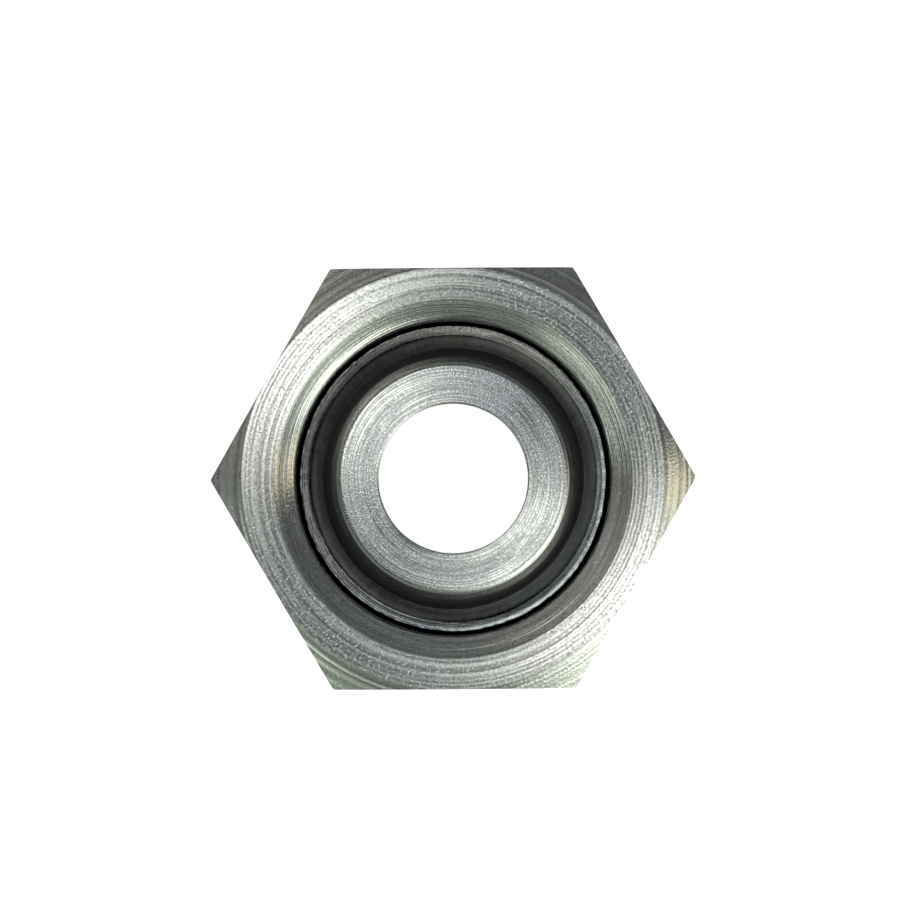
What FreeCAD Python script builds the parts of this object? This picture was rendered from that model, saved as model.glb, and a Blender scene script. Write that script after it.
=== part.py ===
import FreeCAD
import Part
import Sketcher
import os

# Straight hose fitting with a swivelling union nut
# The stem stands on its hose end, with its axis on +Z and the middle of its end face at the origin.
# All lengths are millimetres and all angles are degrees.

doc = FreeCAD.newDocument("HoseFitting")

# How far a cutting outline reaches past the metal that it trims
CUT_MARGIN = 1.0

# Driving sizes

STEM_SIZES = {
    "bore_dia": 7.8,
    "bore_edge": 0.1,
    "nose_dia": 12.24,
    "nose_round": 0.4,
    "cone_half_angle": 12.0,
    "cone_length": 6.9,
    "seal_setback": 1.3,
    "seal_groove_width": 1.95,
    "seal_groove_dia": 10.7,
    "shoulder_lip": 0.53,
    "shoulder_width": 2.2,
    "shoulder_edge": 0.1,
    "thrust_half_angle": 45.0,
    "neck_dia": 12.6,
    "neck_length": 3.2,
    "stop_dia": 16.4,
    "stop_width": 3.0,
    "stop_edge": 0.4,
    "ferrule_groove_dia": 11.4,
    "ferrule_groove_width": 3.4,
    "lock_dia": 12.8,
    "lock_width": 1.8,
    "lock_ramp": 0.6,
    "land_dia": 9.8,
    "land_length": 2.4,
    "barb_crest_dia": 10.3,
    "barb_root_dia": 9.4,
    "barb_pitch": 2.8,
    "barb_crest_width": 0.5,
    "barb_count": 8,
    "tip_length": 0.9,
    "tip_edge": 0.2,
}

NUT_SIZES = {
    "hex_flats": 22.0,
    "hex_face_dia": 22.1,
    "hex_chamfer_angle": 30.0,
    "nut_lead": 1.0,
    "thread_clearance": 0.195,
    "mouth_lip": 1.05,
    "mouth_half_angle": 45.0,
    "relief_depth": 0.84,
    "relief_above_shoulder": 0.8,
    "skirt_dia": 20.2,
    "skirt_length": 3.6,
    "skirt_end_dia": 17.0,
    "skirt_taper": 1.7,
    "skirt_round": 0.8,
    "swivel_gap": 0.3,
    "thrust_gap": 0.25,
    "rear_gap": 0.2,
}

SEAL_SIZES = {
    "seal_section": 1.5,
    "seal_seat_gap": 0.02,
}

# Diameters that follow each other from the nose outwards, so that the nut always clears the stem

DIAMETERS = {
    "cone_base_dia": "=Sizes.nose_dia + 2 * Sizes.cone_length * tan(Sizes.cone_half_angle)",
    "shoulder_dia": "=cone_base_dia + 2 * Sizes.shoulder_lip",
    "thread_minor_dia": "=shoulder_dia + 2 * Sizes.thread_clearance",
    "mouth_dia": "=thread_minor_dia + 2 * Sizes.mouth_lip",
    "relief_dia": "=thread_minor_dia + 2 * Sizes.relief_depth",
}

# Heights along the axis, each worked out from the driving sizes

HEIGHTS = {
    "barbs_end": "=Sizes.tip_length + Sizes.barb_count * Sizes.barb_pitch",
    "lock_base": "=barbs_end + Sizes.land_length",
    "lock_top": "=lock_base + Sizes.lock_width",
    "stop_base": "=lock_top + Sizes.ferrule_groove_width",
    "stop_top": "=stop_base + Sizes.stop_width",
    "neck_top": "=stop_top + Sizes.neck_length",
    "shoulder_base": "=neck_top + (Diameters.shoulder_dia - Sizes.neck_dia) / 2 / tan(Sizes.thrust_half_angle)",
    "shoulder_top": "=shoulder_base + Sizes.shoulder_width",
    "nose_face": "=shoulder_top + Sizes.cone_length",
    "nut_rear": "=stop_top + Sizes.rear_gap",
    "nut_face": "=nose_face + Sizes.nut_lead",
}


def make_sheet(name, cells):
    """A spreadsheet with one aliased cell for each entry."""
    sheet = doc.addObject("Spreadsheet::Sheet", name)
    for row, (alias, value) in enumerate(cells.items(), start=1):
        sheet.set(f"A{row}", alias)
        sheet.set(f"B{row}", str(value))
        sheet.setAlias(f"B{row}", alias)
    doc.recompute()
    return sheet


sizes = make_sheet("Sizes", {**STEM_SIZES, **NUT_SIZES, **SEAL_SIZES})
diameters = make_sheet("Diameters", DIAMETERS)
heights = make_sheet("Heights", HEIGHTS)


# Helpers for bodies, sketches and edges


def make_body(label):
    """A body whose label names its file."""
    body = doc.addObject("PartDesign::Body", label.title().replace("_", ""))
    body.Label = label
    return body


def origin_feature(body, role):
    """A plane or axis of the body's own origin."""
    return next(item for item in body.Origin.OriginFeatures if item.Role == role)


def value_of(expression):
    """The number that an expression gives now."""
    result = sizes.evalExpression(expression)
    return float(getattr(result, "Value", result))


def pin_corner(sketch, line, axis, expression):
    """Hold the first point of a line at an expression's distance from the origin."""
    if expression == "0":
        sketch_axis = -2 if axis == "DistanceX" else -1
        sketch.addConstraint(Sketcher.Constraint("PointOnObject", line, 1, sketch_axis))
        return
    index = sketch.addConstraint(Sketcher.Constraint(axis, -1, 1, line, 1, value_of(expression)))
    sketch.setExpression(f"Constraints[{index}]", expression)


def add_polygon(sketch, corners):
    """A closed outline whose corners are pairs of expressions."""
    points = [FreeCAD.Vector(value_of(across), value_of(along), 0) for across, along in corners]
    first = sketch.GeometryCount
    count = len(points)
    for index, point in enumerate(points):
        sketch.addGeometry(Part.LineSegment(point, points[(index + 1) % count]), False)
    for index in range(count):
        follower = first + (index + 1) % count
        sketch.addConstraint(Sketcher.Constraint("Coincident", first + index, 2, follower, 1))
    for index, (across, along) in enumerate(corners):
        pin_corner(sketch, first + index, "DistanceX", across)
        pin_corner(sketch, first + index, "DistanceY", along)


def make_sketch(body, name, role):
    """An empty sketch on one of the body's own origin planes."""
    sketch = body.newObject("Sketcher::SketchObject", name)
    sketch.AttachmentSupport = [(origin_feature(body, role), "")]
    sketch.MapMode = "FlatFace"
    return sketch


def turned_sketch(body, name, *outlines):
    """Outlines of radius and height, on the plane through the axis."""
    sketch = make_sketch(body, name, "XZ_Plane")
    for corners in outlines:
        add_polygon(sketch, corners)
    doc.recompute()
    return sketch


def revolve(body, kind, name, sketch):
    """Turn a sketch about the axis, as a Revolution that adds or a Groove that cuts."""
    before = body.Shape.Volume if kind == "PartDesign::Groove" else 0.0
    feature = body.newObject(kind, name)
    feature.Profile = sketch
    feature.ReferenceAxis = (sketch, ["V_Axis"])
    feature.Angle = 360.0
    sketch.Visibility = False
    doc.recompute()
    if kind == "PartDesign::Groove" and not feature.Shape.Volume < before:
        raise RuntimeError(f"{name} cuts nothing")
    return feature


def circle_edges(feature, rings):
    """Names of the circular edges at the given pairs of radius and height."""
    names = []
    for radius, height in rings:
        wanted = (value_of(radius), value_of(height))
        for index, edge in enumerate(feature.Shape.Edges, start=1):
            if isinstance(edge.Curve, Part.Circle) and edge.Closed:
                found = (edge.Curve.Radius, edge.Curve.Center.z)
                if abs(found[0] - wanted[0]) < 1e-4 and abs(found[1] - wanted[1]) < 1e-4:
                    names.append(f"Edge{index}")
    if len(names) != len(rings):
        raise RuntimeError(f"{feature.Name}: {len(names)} of {len(rings)} edges were found")
    return names


def dress(body, kind, name, base, rings, measure, expression):
    """A Fillet or Chamfer on circular edges, with its size bound to the sheet."""
    feature = body.newObject(kind, name)
    feature.Base = (base, circle_edges(base, rings))
    feature.setExpression(measure, expression)
    doc.recompute()
    return feature


def half(alias):
    """The radius that belongs to a diameter in the sheet."""
    return f"Sizes.{alias} / 2"


# Stem
# One turned piece: barbed tail, lock collar, ferrule groove, stop collar, neck, shoulder and cone.


def make_stem():
    body = make_body("hose_stem")
    cone_base = "Diameters.cone_base_dia / 2"
    blank = turned_sketch(body, "StemOutline", [
        ("0", "0"),
        (half("barb_root_dia"), "0"),
        (half("barb_root_dia"), "Sizes.tip_length"),
        (half("barb_crest_dia"), "Sizes.tip_length"),
        (half("barb_crest_dia"), "Heights.barbs_end"),
        (half("land_dia"), "Heights.barbs_end"),
        (half("land_dia"), "Heights.lock_base"),
        (half("lock_dia"), "Heights.lock_base + Sizes.lock_ramp"),
        (half("lock_dia"), "Heights.lock_top"),
        (half("ferrule_groove_dia"), "Heights.lock_top"),
        (half("ferrule_groove_dia"), "Heights.stop_base"),
        (half("stop_dia"), "Heights.stop_base"),
        (half("stop_dia"), "Heights.stop_top"),
        (half("neck_dia"), "Heights.stop_top"),
        (half("neck_dia"), "Heights.neck_top"),
        ("Diameters.shoulder_dia / 2", "Heights.shoulder_base"),
        ("Diameters.shoulder_dia / 2", "Heights.shoulder_top"),
        (cone_base, "Heights.shoulder_top"),
        (half("nose_dia"), "Heights.nose_face"),
        ("0", "Heights.nose_face"),
    ])
    outline = revolve(body, "PartDesign::Revolution", "StemBlank", blank)

    edges = dress(body, "PartDesign::Chamfer", "CollarEdges", outline, [
        (half("stop_dia"), "Heights.stop_base"),
        (half("stop_dia"), "Heights.stop_top"),
    ], "Size", "Sizes.stop_edge")
    edges = dress(body, "PartDesign::Chamfer", "ShoulderEdge", edges, [
        ("Diameters.shoulder_dia / 2", "Heights.shoulder_top"),
    ], "Size", "Sizes.shoulder_edge")
    edges = dress(body, "PartDesign::Chamfer", "TipEdge", edges, [
        (half("barb_root_dia"), "0"),
    ], "Size", "Sizes.tip_edge")
    dress(body, "PartDesign::Fillet", "NoseRound", edges, [
        (half("nose_dia"), "Heights.nose_face"),
    ], "Radius", "Sizes.nose_round")

    # Each barb rises from root to crest towards the nut and drops back square.
    ramp_end = "Sizes.tip_length + Sizes.barb_pitch - Sizes.barb_crest_width"
    barb = turned_sketch(body, "BarbGap", [
        (half("barb_root_dia"), "Sizes.tip_length"),
        (half("barb_crest_dia"), ramp_end),
        (f"{half('barb_crest_dia')} + {CUT_MARGIN}", ramp_end),
        (f"{half('barb_crest_dia')} + {CUT_MARGIN}", "Sizes.tip_length"),
    ])
    cut = revolve(body, "PartDesign::Groove", "BarbCut", barb)
    row = body.newObject("PartDesign::LinearPattern", "BarbRow")
    row.Originals = [cut]
    row.Direction = (origin_feature(body, "Z_Axis"), [""])
    row.setExpression("Length", "(Sizes.barb_count - 1) * Sizes.barb_pitch")
    row.setExpression("Occurrences", "Sizes.barb_count")
    body.Tip = row
    doc.recompute()

    seal = turned_sketch(body, "SealGroove", [
        (half("seal_groove_dia"), "Heights.nose_face - Sizes.seal_setback"),
        (cone_base, "Heights.nose_face - Sizes.seal_setback"),
        (cone_base, "Heights.nose_face - Sizes.seal_setback - Sizes.seal_groove_width"),
        (half("seal_groove_dia"), "Heights.nose_face - Sizes.seal_setback - Sizes.seal_groove_width"),
    ])
    revolve(body, "PartDesign::Groove", "SealGrooveCut", seal)

    bore = turned_sketch(body, "BoreOutline", [
        ("0", "0"),
        ("Sizes.bore_dia / 2 + Sizes.bore_edge", "0"),
        (half("bore_dia"), "Sizes.bore_edge"),
        (half("bore_dia"), "Heights.nose_face - Sizes.bore_edge"),
        ("Sizes.bore_dia / 2 + Sizes.bore_edge", "Heights.nose_face"),
        ("0", "Heights.nose_face"),
    ])
    revolve(body, "PartDesign::Groove", "Bore", bore)
    return body


# Union nut
# Modelled from its rear face up, then lifted to its place just above the stop collar.


def add_hexagon(sketch):
    """A regular hexagon with two flats square to Y, driven by the size across its flats."""
    corner = value_of("Sizes.hex_flats / 2 / cos(30)")
    sketch.addGeometry(Part.Circle(FreeCAD.Vector(0, 0, 0), FreeCAD.Vector(0, 0, 1), corner), True)
    sketch.addConstraint(Sketcher.Constraint("Coincident", 0, 3, -1, 1))
    points = []
    for index in range(6):
        turn = FreeCAD.Rotation(FreeCAD.Vector(0, 0, 1), 60 * index)
        points.append(turn.multVec(FreeCAD.Vector(corner, 0, 0)))
    for index in range(6):
        sketch.addGeometry(Part.LineSegment(points[index], points[(index + 1) % 6]), False)
    for index in range(6):
        sketch.addConstraint(Sketcher.Constraint("Coincident", 1 + index, 2, 1 + (index + 1) % 6, 1))
        sketch.addConstraint(Sketcher.Constraint("PointOnObject", 1 + index, 1, 0))
        if index:
            sketch.addConstraint(Sketcher.Constraint("Equal", 1, 1 + index))
    sketch.addConstraint(Sketcher.Constraint("PointOnObject", 1, 1, -1))
    radius = sketch.addConstraint(Sketcher.Constraint("Radius", 0, corner))
    sketch.setExpression(f"Constraints[{radius}]", "Sizes.hex_flats / 2 / cos(30)")


def make_nut():
    body = make_body("union_nut")
    length = "(Heights.nut_face - Heights.nut_rear)"
    corner = "Sizes.hex_flats / 2 / cos(30)"
    hole = "(Sizes.neck_dia / 2 + Sizes.swivel_gap)"
    seat_gap = "(Sizes.thrust_gap / cos(Sizes.thrust_half_angle) - Sizes.swivel_gap)"
    seat_base = f"(Heights.neck_top - Heights.nut_rear - {seat_gap} / tan(Sizes.thrust_half_angle))"
    seat_top = f"({seat_base} + (Diameters.relief_dia / 2 - {hole}) / tan(Sizes.thrust_half_angle))"
    thread_end = "(Heights.shoulder_top - Heights.nut_rear + Sizes.relief_above_shoulder)"
    mouth_depth = "(Diameters.mouth_dia - Diameters.thread_minor_dia) / 2 / tan(Sizes.mouth_half_angle)"

    hexagon = make_sketch(body, "Hexagon", "XY_Plane")
    hexagon.setExpression("AttachmentOffset.Base.z", "Sizes.skirt_length")
    add_hexagon(hexagon)
    doc.recompute()
    block = body.newObject("PartDesign::Pad", "HexBlock")
    block.Profile = hexagon
    block.setExpression("Length", f"{length} - Sizes.skirt_length")
    hexagon.Visibility = False
    doc.recompute()

    # The chamfers trim only the six corners, because the turned face is a little wider than the flats.
    rim = f"{corner} + {CUT_MARGIN}"
    drop = f"({rim} - Sizes.hex_face_dia / 2) * tan(Sizes.hex_chamfer_angle)"
    corners = turned_sketch(body, "CornerTrim", [
        (half("hex_face_dia"), length),
        (rim, length),
        (rim, f"{length} - {drop}"),
    ], [
        (half("hex_face_dia"), "Sizes.skirt_length"),
        (rim, "Sizes.skirt_length"),
        (rim, f"Sizes.skirt_length + {drop}"),
    ])
    revolve(body, "PartDesign::Groove", "CornerChamfers", corners)

    # The skirt tapers where it has been pressed in behind the stem's shoulder.
    skirt = turned_sketch(body, "SkirtOutline", [
        ("0", "0"),
        (half("skirt_end_dia"), "0"),
        (half("skirt_dia"), "Sizes.skirt_taper"),
        (half("skirt_dia"), "Sizes.skirt_length"),
        ("0", "Sizes.skirt_length"),
    ])
    pressed = revolve(body, "PartDesign::Revolution", "Skirt", skirt)
    dress(body, "PartDesign::Fillet", "SkirtRound", pressed, [
        (half("skirt_end_dia"), "0"),
        (half("skirt_dia"), "Sizes.skirt_taper"),
    ], "Radius", "Sizes.skirt_round")

    # Mouth, thread bore at its minor diameter, relief behind the thread, thrust seat and rear hole.
    inside = turned_sketch(body, "InsideOutline", [
        ("0", "0"),
        (hole, "0"),
        (hole, seat_base),
        ("Diameters.relief_dia / 2", seat_top),
        ("Diameters.relief_dia / 2", thread_end),
        ("Diameters.thread_minor_dia / 2", f"{thread_end} + Sizes.relief_depth"),
        ("Diameters.thread_minor_dia / 2", f"{length} - {mouth_depth}"),
        ("Diameters.mouth_dia / 2", length),
        ("0", length),
    ])
    revolve(body, "PartDesign::Groove", "Inside", inside)
    body.setExpression("Placement.Base.z", "Heights.nut_rear")
    return body


# O-ring
# A round section that sits on the floor of the groove in the cone, midway along it.


def make_seal():
    body = make_body("o_ring")
    sketch = make_sketch(body, "RingSection", "XZ_Plane")
    middle = "Sizes.seal_groove_dia / 2 + Sizes.seal_seat_gap + Sizes.seal_section / 2"
    centre = FreeCAD.Vector(value_of(middle), 0, 0)
    radius = value_of("Sizes.seal_section / 2")
    sketch.addGeometry(Part.Circle(centre, FreeCAD.Vector(0, 0, 1), radius), False)
    sketch.addConstraint(Sketcher.Constraint("PointOnObject", 0, 3, -1))
    offset = sketch.addConstraint(Sketcher.Constraint("DistanceX", -1, 1, 0, 3, centre.x))
    sketch.setExpression(f"Constraints[{offset}]", middle)
    section = sketch.addConstraint(Sketcher.Constraint("Radius", 0, radius))
    sketch.setExpression(f"Constraints[{section}]", "Sizes.seal_section / 2")
    doc.recompute()
    revolve(body, "PartDesign::Revolution", "Ring", sketch)
    body.setExpression(
        "Placement.Base.z",
        "Heights.nose_face - Sizes.seal_setback - Sizes.seal_groove_width / 2",
    )
    return body


parts = [make_stem(), make_nut(), make_seal()]
doc.recompute()

# Every object has to be sound before anything is written

for item in doc.Objects:
    if "Invalid" in item.State or "Error" in item.State:
        raise RuntimeError(f"{item.Label} failed: {item.State}")
for part in parts:
    if part.Shape.isNull() or not part.Shape.isValid() or len(part.Shape.Solids) != 1:
        raise RuntimeError(f"{part.Label} is not one valid solid")

os.makedirs("parts", exist_ok=True)
for part in parts:
    part.Shape.exportStep(f"parts/{part.Label}.step")
    box = part.Shape.BoundBox
    print(f"{part.Label}: {part.Shape.Volume:.1f} mm3, z {box.ZMin:.2f} to {box.ZMax:.2f}")
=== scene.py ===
# %% [markdown]
# A hose fitting in bright zinc-plated steel, seen straight down its axis.
# The fitting has three real pieces: a turned stem with a barbed tail, a hexagonal union nut that
# swivels on it, and a rubber O-ring in the stem's cone. The solids come from a fixed frame that
# holds every size. This script gives the pieces their edges, their thread and their finish.

# %% Load the fixed frame
import math
import bmesh
import bpy
import numpy as np
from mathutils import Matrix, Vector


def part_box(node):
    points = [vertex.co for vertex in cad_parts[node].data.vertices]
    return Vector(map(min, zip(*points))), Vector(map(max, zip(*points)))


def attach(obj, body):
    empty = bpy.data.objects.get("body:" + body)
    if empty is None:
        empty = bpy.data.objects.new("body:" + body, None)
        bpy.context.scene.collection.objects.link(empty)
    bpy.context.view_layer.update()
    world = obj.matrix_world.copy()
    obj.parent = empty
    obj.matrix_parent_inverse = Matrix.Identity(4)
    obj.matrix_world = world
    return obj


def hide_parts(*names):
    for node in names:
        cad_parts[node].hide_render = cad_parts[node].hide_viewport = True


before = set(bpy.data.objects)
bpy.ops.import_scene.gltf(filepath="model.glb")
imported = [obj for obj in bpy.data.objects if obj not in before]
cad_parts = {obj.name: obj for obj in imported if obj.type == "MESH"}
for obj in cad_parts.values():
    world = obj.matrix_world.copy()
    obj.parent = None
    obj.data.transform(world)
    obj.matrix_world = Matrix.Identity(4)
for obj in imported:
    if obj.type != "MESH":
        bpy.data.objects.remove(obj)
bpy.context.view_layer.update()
print("nodes:", sorted(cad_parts))

# %% [markdown]
# Sizes are read from the frame wherever the frame knows them. The rest are the sizes of turned
# details, in millimetres, as a lathe drawing would give them. Blender works in metres, so every
# size passes through MM once, when a mesh is made.

# %% Sizes of the stem
MM = 0.001
stem_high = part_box("hose_stem")[1]
nut_low, nut_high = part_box("union_nut")
ring_low, ring_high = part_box("o_ring")
NOSE_FACE = stem_high.z / MM
NUT_REAR = nut_low.z / MM
NUT_FACE = nut_high.z / MM

BORE_R = 3.9
BORE_EDGE = 0.1
NOSE_R = 6.12
CONE_SLOPE = math.tan(math.radians(12.0))
CONE_LENGTH = 6.9
SEAL_SETBACK = 1.3
SEAL_GROOVE_WIDTH = 1.95
SEAL_GROOVE_R = 5.35
SHOULDER_LIP = 0.53
SHOULDER_WIDTH = 2.2
NECK_R = 6.3
NECK_LENGTH = 3.2
STOP_R = stem_high.x / MM
STOP_WIDTH = 3.0
FERRULE_GROOVE_R = 5.7
FERRULE_GROOVE_WIDTH = 3.4
LOCK_R = 6.4
LOCK_WIDTH = 1.8
LOCK_RAMP = 0.6
LAND_R = 4.9
LAND_LENGTH = 2.4
BARB_CREST_R = 5.15
BARB_ROOT_R = 4.7
BARB_PITCH = 2.8
BARB_CREST_WIDTH = 0.5
BARB_COUNT = 8
TIP_LENGTH = 0.9

CONE_BASE_R = NOSE_R + CONE_LENGTH * CONE_SLOPE
SHOULDER_R = CONE_BASE_R + SHOULDER_LIP
SHOULDER_TOP = NOSE_FACE - CONE_LENGTH
SHOULDER_BASE = SHOULDER_TOP - SHOULDER_WIDTH
NECK_TOP = SHOULDER_BASE - (SHOULDER_R - NECK_R)
STOP_TOP = NECK_TOP - NECK_LENGTH
STOP_BASE = STOP_TOP - STOP_WIDTH
LOCK_TOP = STOP_BASE - FERRULE_GROOVE_WIDTH
LOCK_BASE = LOCK_TOP - LOCK_WIDTH
BARBS_END = LOCK_BASE - LAND_LENGTH
print("stem: nose face at", round(NOSE_FACE, 3), "mm, barbs end at", round(BARBS_END, 3), "mm")

# %% [markdown]
# A turned piece is a flat outline spun about the axis. No real turned edge is perfectly sharp, and
# the thin bright line along each edge of a steel part is light caught by that small rounding. So
# the outline is written as corners, each with its own edge radius, and a helper swaps every corner
# for a short arc. A radius of zero marks a plain point on a straight stretch. The helper also gives
# each point its exact normal, so flat faces stay flat.

# %% An outline with rounded corners
SEGMENTS = 360
ARC_STEPS = 4
ARC_SHARE = 0.45


def add_object(name, data):
    """A new object in the scene, made of this mesh or camera."""
    made = bpy.data.objects.new(name, data)
    bpy.context.scene.collection.objects.link(made)
    return made


def rounded_outline(corners):
    """Points and normals around a closed outline of (radius, height, edge radius) corners."""
    points = []
    normals = []
    count = len(corners)
    for index, (across, along, edge) in enumerate(corners):
        here = np.array((across, along), float)
        back = np.array(corners[index - 1][:2], float) - here
        ahead = np.array(corners[(index + 1) % count][:2], float) - here
        back_length = np.linalg.norm(back)
        ahead_length = np.linalg.norm(ahead)
        back /= back_length
        ahead /= ahead_length
        if edge == 0.0:
            points.append(here)
            normals.append(np.array((back[1], -back[0])))
            continue
        half_angle = math.acos(max(-1.0, min(1.0, float(back @ ahead)))) / 2
        reach = min(edge / math.tan(half_angle), ARC_SHARE * back_length, ARC_SHARE * ahead_length)
        before = np.array((back[1], -back[0]))
        after = np.array((-ahead[1], ahead[0]))
        for step in range(ARC_STEPS + 1):
            share = step / ARC_STEPS
            start = here + back * reach
            end = here + ahead * reach
            point = (1 - share) ** 2 * start + 2 * share * (1 - share) * here + share ** 2 * end
            normal = (1 - share) * before + share * after
            points.append(point)
            normals.append(normal / np.linalg.norm(normal))
    return np.array(points), np.array(normals)


def spun_mesh(name, corners, segments=SEGMENTS):
    """A closed turned solid from an outline that runs clockwise as seen with the axis on the left."""
    points, normals = rounded_outline(corners)
    angles = np.arange(segments) * 2 * math.pi / segments
    wheel = np.stack((np.cos(angles), np.sin(angles)), axis=1)
    rings = len(points)
    verts = np.empty((segments, rings, 3))
    verts[:, :, 0] = wheel[:, :1] * points[:, 0]
    verts[:, :, 1] = wheel[:, 1:] * points[:, 0]
    verts[:, :, 2] = points[:, 1]
    facing = np.empty((segments, rings, 3))
    facing[:, :, 0] = wheel[:, :1] * normals[:, 0]
    facing[:, :, 1] = wheel[:, 1:] * normals[:, 0]
    facing[:, :, 2] = normals[:, 1]
    column = np.arange(segments)[:, None] * rings
    following = (np.arange(segments)[:, None] + 1) % segments * rings
    row = np.arange(rings)[None, :]
    above = (row + 1) % rings
    faces = np.stack((column + row, column + above, following + above, following + row), axis=2)
    mesh = bpy.data.meshes.new(name)
    mesh.from_pydata((verts.reshape(-1, 3) * MM).tolist(), [], faces.reshape(-1, 4).tolist())
    mesh.polygons.foreach_set("use_smooth", [True] * len(mesh.polygons))
    mesh.normals_split_custom_set_from_vertices(facing.reshape(-1, 3).tolist())
    mesh.validate()
    return add_object(name, mesh)


# %% [markdown]
# The stem's outline starts at the bore by the tail, goes up the bore, over the nose and down the
# outside. The barbs repeat, so a loop writes them: each one climbs slowly from its root, holds its
# crest for half a millimetre and drops back square, so that a hose slides on but not off.

# %% The stem's outline
FINE_EDGE = 0.03
NOSE_EDGE = 0.42
CONE_EDGE = 0.12
SHOULDER_EDGE = 0.08
NECK_EDGE = 0.3
COLLAR_EDGE = 0.35
GROOVE_EDGE = 0.15
LOCK_EDGE = 0.08
LAND_EDGE = 0.1
LAND_END_EDGE = 0.05
TIP_EDGE = 0.2

# Points on top of the shoulder, in from its rim, that the burr will raise
BURR_LIP = (0.26, 0.22, 0.14, 0.10)


def barb_corners():
    """The corners of the barbs, from the one next to the land down to the tip."""
    corners = []
    for index in reversed(range(BARB_COUNT)):
        base = TIP_LENGTH + index * BARB_PITCH
        top = base + BARB_PITCH
        corners.append((BARB_CREST_R, top, FINE_EDGE))
        corners.append((BARB_CREST_R, top - BARB_CREST_WIDTH, FINE_EDGE))
        corners.append((BARB_ROOT_R, base, FINE_EDGE))
    return corners


def stem_corners():
    """The corners of the whole stem, each with its edge radius."""
    groove_top = NOSE_FACE - SEAL_SETBACK
    groove_base = groove_top - SEAL_GROOVE_WIDTH
    groove_top_r = NOSE_R + SEAL_SETBACK * CONE_SLOPE
    groove_base_r = groove_top_r + SEAL_GROOVE_WIDTH * CONE_SLOPE
    return [
        (BORE_R, 0.0, BORE_EDGE),
        (BORE_R, NOSE_FACE, BORE_EDGE),
        (NOSE_R, NOSE_FACE, NOSE_EDGE),
        (groove_top_r, groove_top, FINE_EDGE),
        (SEAL_GROOVE_R, groove_top, FINE_EDGE),
        (SEAL_GROOVE_R, groove_base, FINE_EDGE),
        (groove_base_r, groove_base, FINE_EDGE),
        (CONE_BASE_R, SHOULDER_TOP, CONE_EDGE),
        *[(SHOULDER_R - apart, SHOULDER_TOP, 0.0) for apart in BURR_LIP],
        (SHOULDER_R, SHOULDER_TOP, SHOULDER_EDGE),
        (SHOULDER_R, SHOULDER_BASE, FINE_EDGE),
        (NECK_R, NECK_TOP, NECK_EDGE),
        (NECK_R, STOP_TOP, NECK_EDGE),
        (STOP_R, STOP_TOP, COLLAR_EDGE),
        (STOP_R, STOP_BASE, COLLAR_EDGE),
        (FERRULE_GROOVE_R, STOP_BASE, GROOVE_EDGE),
        (FERRULE_GROOVE_R, LOCK_TOP, GROOVE_EDGE),
        (LOCK_R, LOCK_TOP, LOCK_EDGE),
        (LOCK_R, LOCK_BASE + LOCK_RAMP, GROOVE_EDGE),
        (LAND_R, LOCK_BASE, LAND_EDGE),
        (LAND_R, BARBS_END, LAND_END_EDGE),
        *barb_corners(),
        (BARB_ROOT_R, 0.0, TIP_EDGE),
    ]


stem = spun_mesh("turned_stem", stem_corners())

# %% [markdown]
# Turning the shoulder threw up a fine burr along its outer edge, which shows as a ragged bright
# line. It stands up by some hundredths of a millimetre where the tool left the cut, and fades on
# both sides of that. Where points have moved, the shading normals are taken from the new shape.

# %% The burr on the shoulder
BURR = 0.035
BURR_RISE = 0.0168
BURR_ANGLE = math.radians(-50.0)
LIP_SHAPE = (1.0, 0.75, 0.25, 0.0)
RIM_BAND = 0.06
LEVEL_BELOW = 0.09
LEVEL_ABOVE = 0.01
generator = np.random.default_rng(7)
ragged = generator.uniform(-1.0, 1.0, SEGMENTS)
ragged = 0.7 * ragged + 0.3 * np.roll(ragged, 1)


def read_vectors(items, field):
    """One row of three numbers for each of a mesh's points, faces or corners."""
    values = np.empty(len(items) * 3)
    items.foreach_get(field, values)
    return values.reshape(-1, 3)


def raise_burr(mesh):
    """Moves the points along the shoulder's outer edge, and says how many there are."""
    spots = read_vectors(mesh.vertices, "co") / MM
    owners = np.empty(len(mesh.loops), int)
    mesh.loops.foreach_get("vertex_index", owners)
    normals = np.zeros(spots.shape)
    normals[owners] = read_vectors(mesh.corner_normals, "vector")

    reach = np.hypot(spots[:, 0], spots[:, 1])
    turn = np.arctan2(spots[:, 1], spots[:, 0])
    jag = ragged[np.round(turn / (2 * math.pi) * SEGMENTS).astype(int) % SEGMENTS]
    level = (spots[:, 2] > SHOULDER_TOP - LEVEL_BELOW) & (spots[:, 2] < SHOULDER_TOP + LEVEL_ABOVE)
    rim = level & (reach > SHOULDER_R - RIM_BAND)
    heavy = np.clip(np.cos(turn - BURR_ANGLE), 0.0, 1.0) * (1.0 + 0.5 * jag)
    rise = np.interp(SHOULDER_R - reach, BURR_LIP[::-1], LIP_SHAPE) * heavy * BURR_RISE
    lip = level & (reach > SHOULDER_R - BURR_LIP[0] - 0.001)
    spots[lip, 2] += rise[lip]
    spots[rim, 2] += BURR * 0.5 * np.maximum(jag[rim], 0.0)
    spots[rim, :2] *= (1.0 + BURR * jag[rim] / reach[rim])[:, None]
    mesh.vertices.foreach_set("co", (spots * MM).ravel())
    mesh.update()
    shaped = read_vectors(mesh.vertex_normals, "vector")
    changed = lip & (heavy > 0.02) & (reach < SHOULDER_R - BURR_LIP[-1] + 0.005)
    normals[changed] = shaped[changed]
    mesh.normals_split_custom_set_from_vertices(normals.tolist())
    return int(lip.sum())


print("burr: moved", raise_burr(stem.data), "points")
print("stem:", len(stem.data.polygons), "faces")

# %% [markdown]
# The O-ring is a round section of rubber, spun the same way. Moulded rings carry a faint flash line
# where the two mould halves met, so the outline has a very low ridge at mid height.

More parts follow.
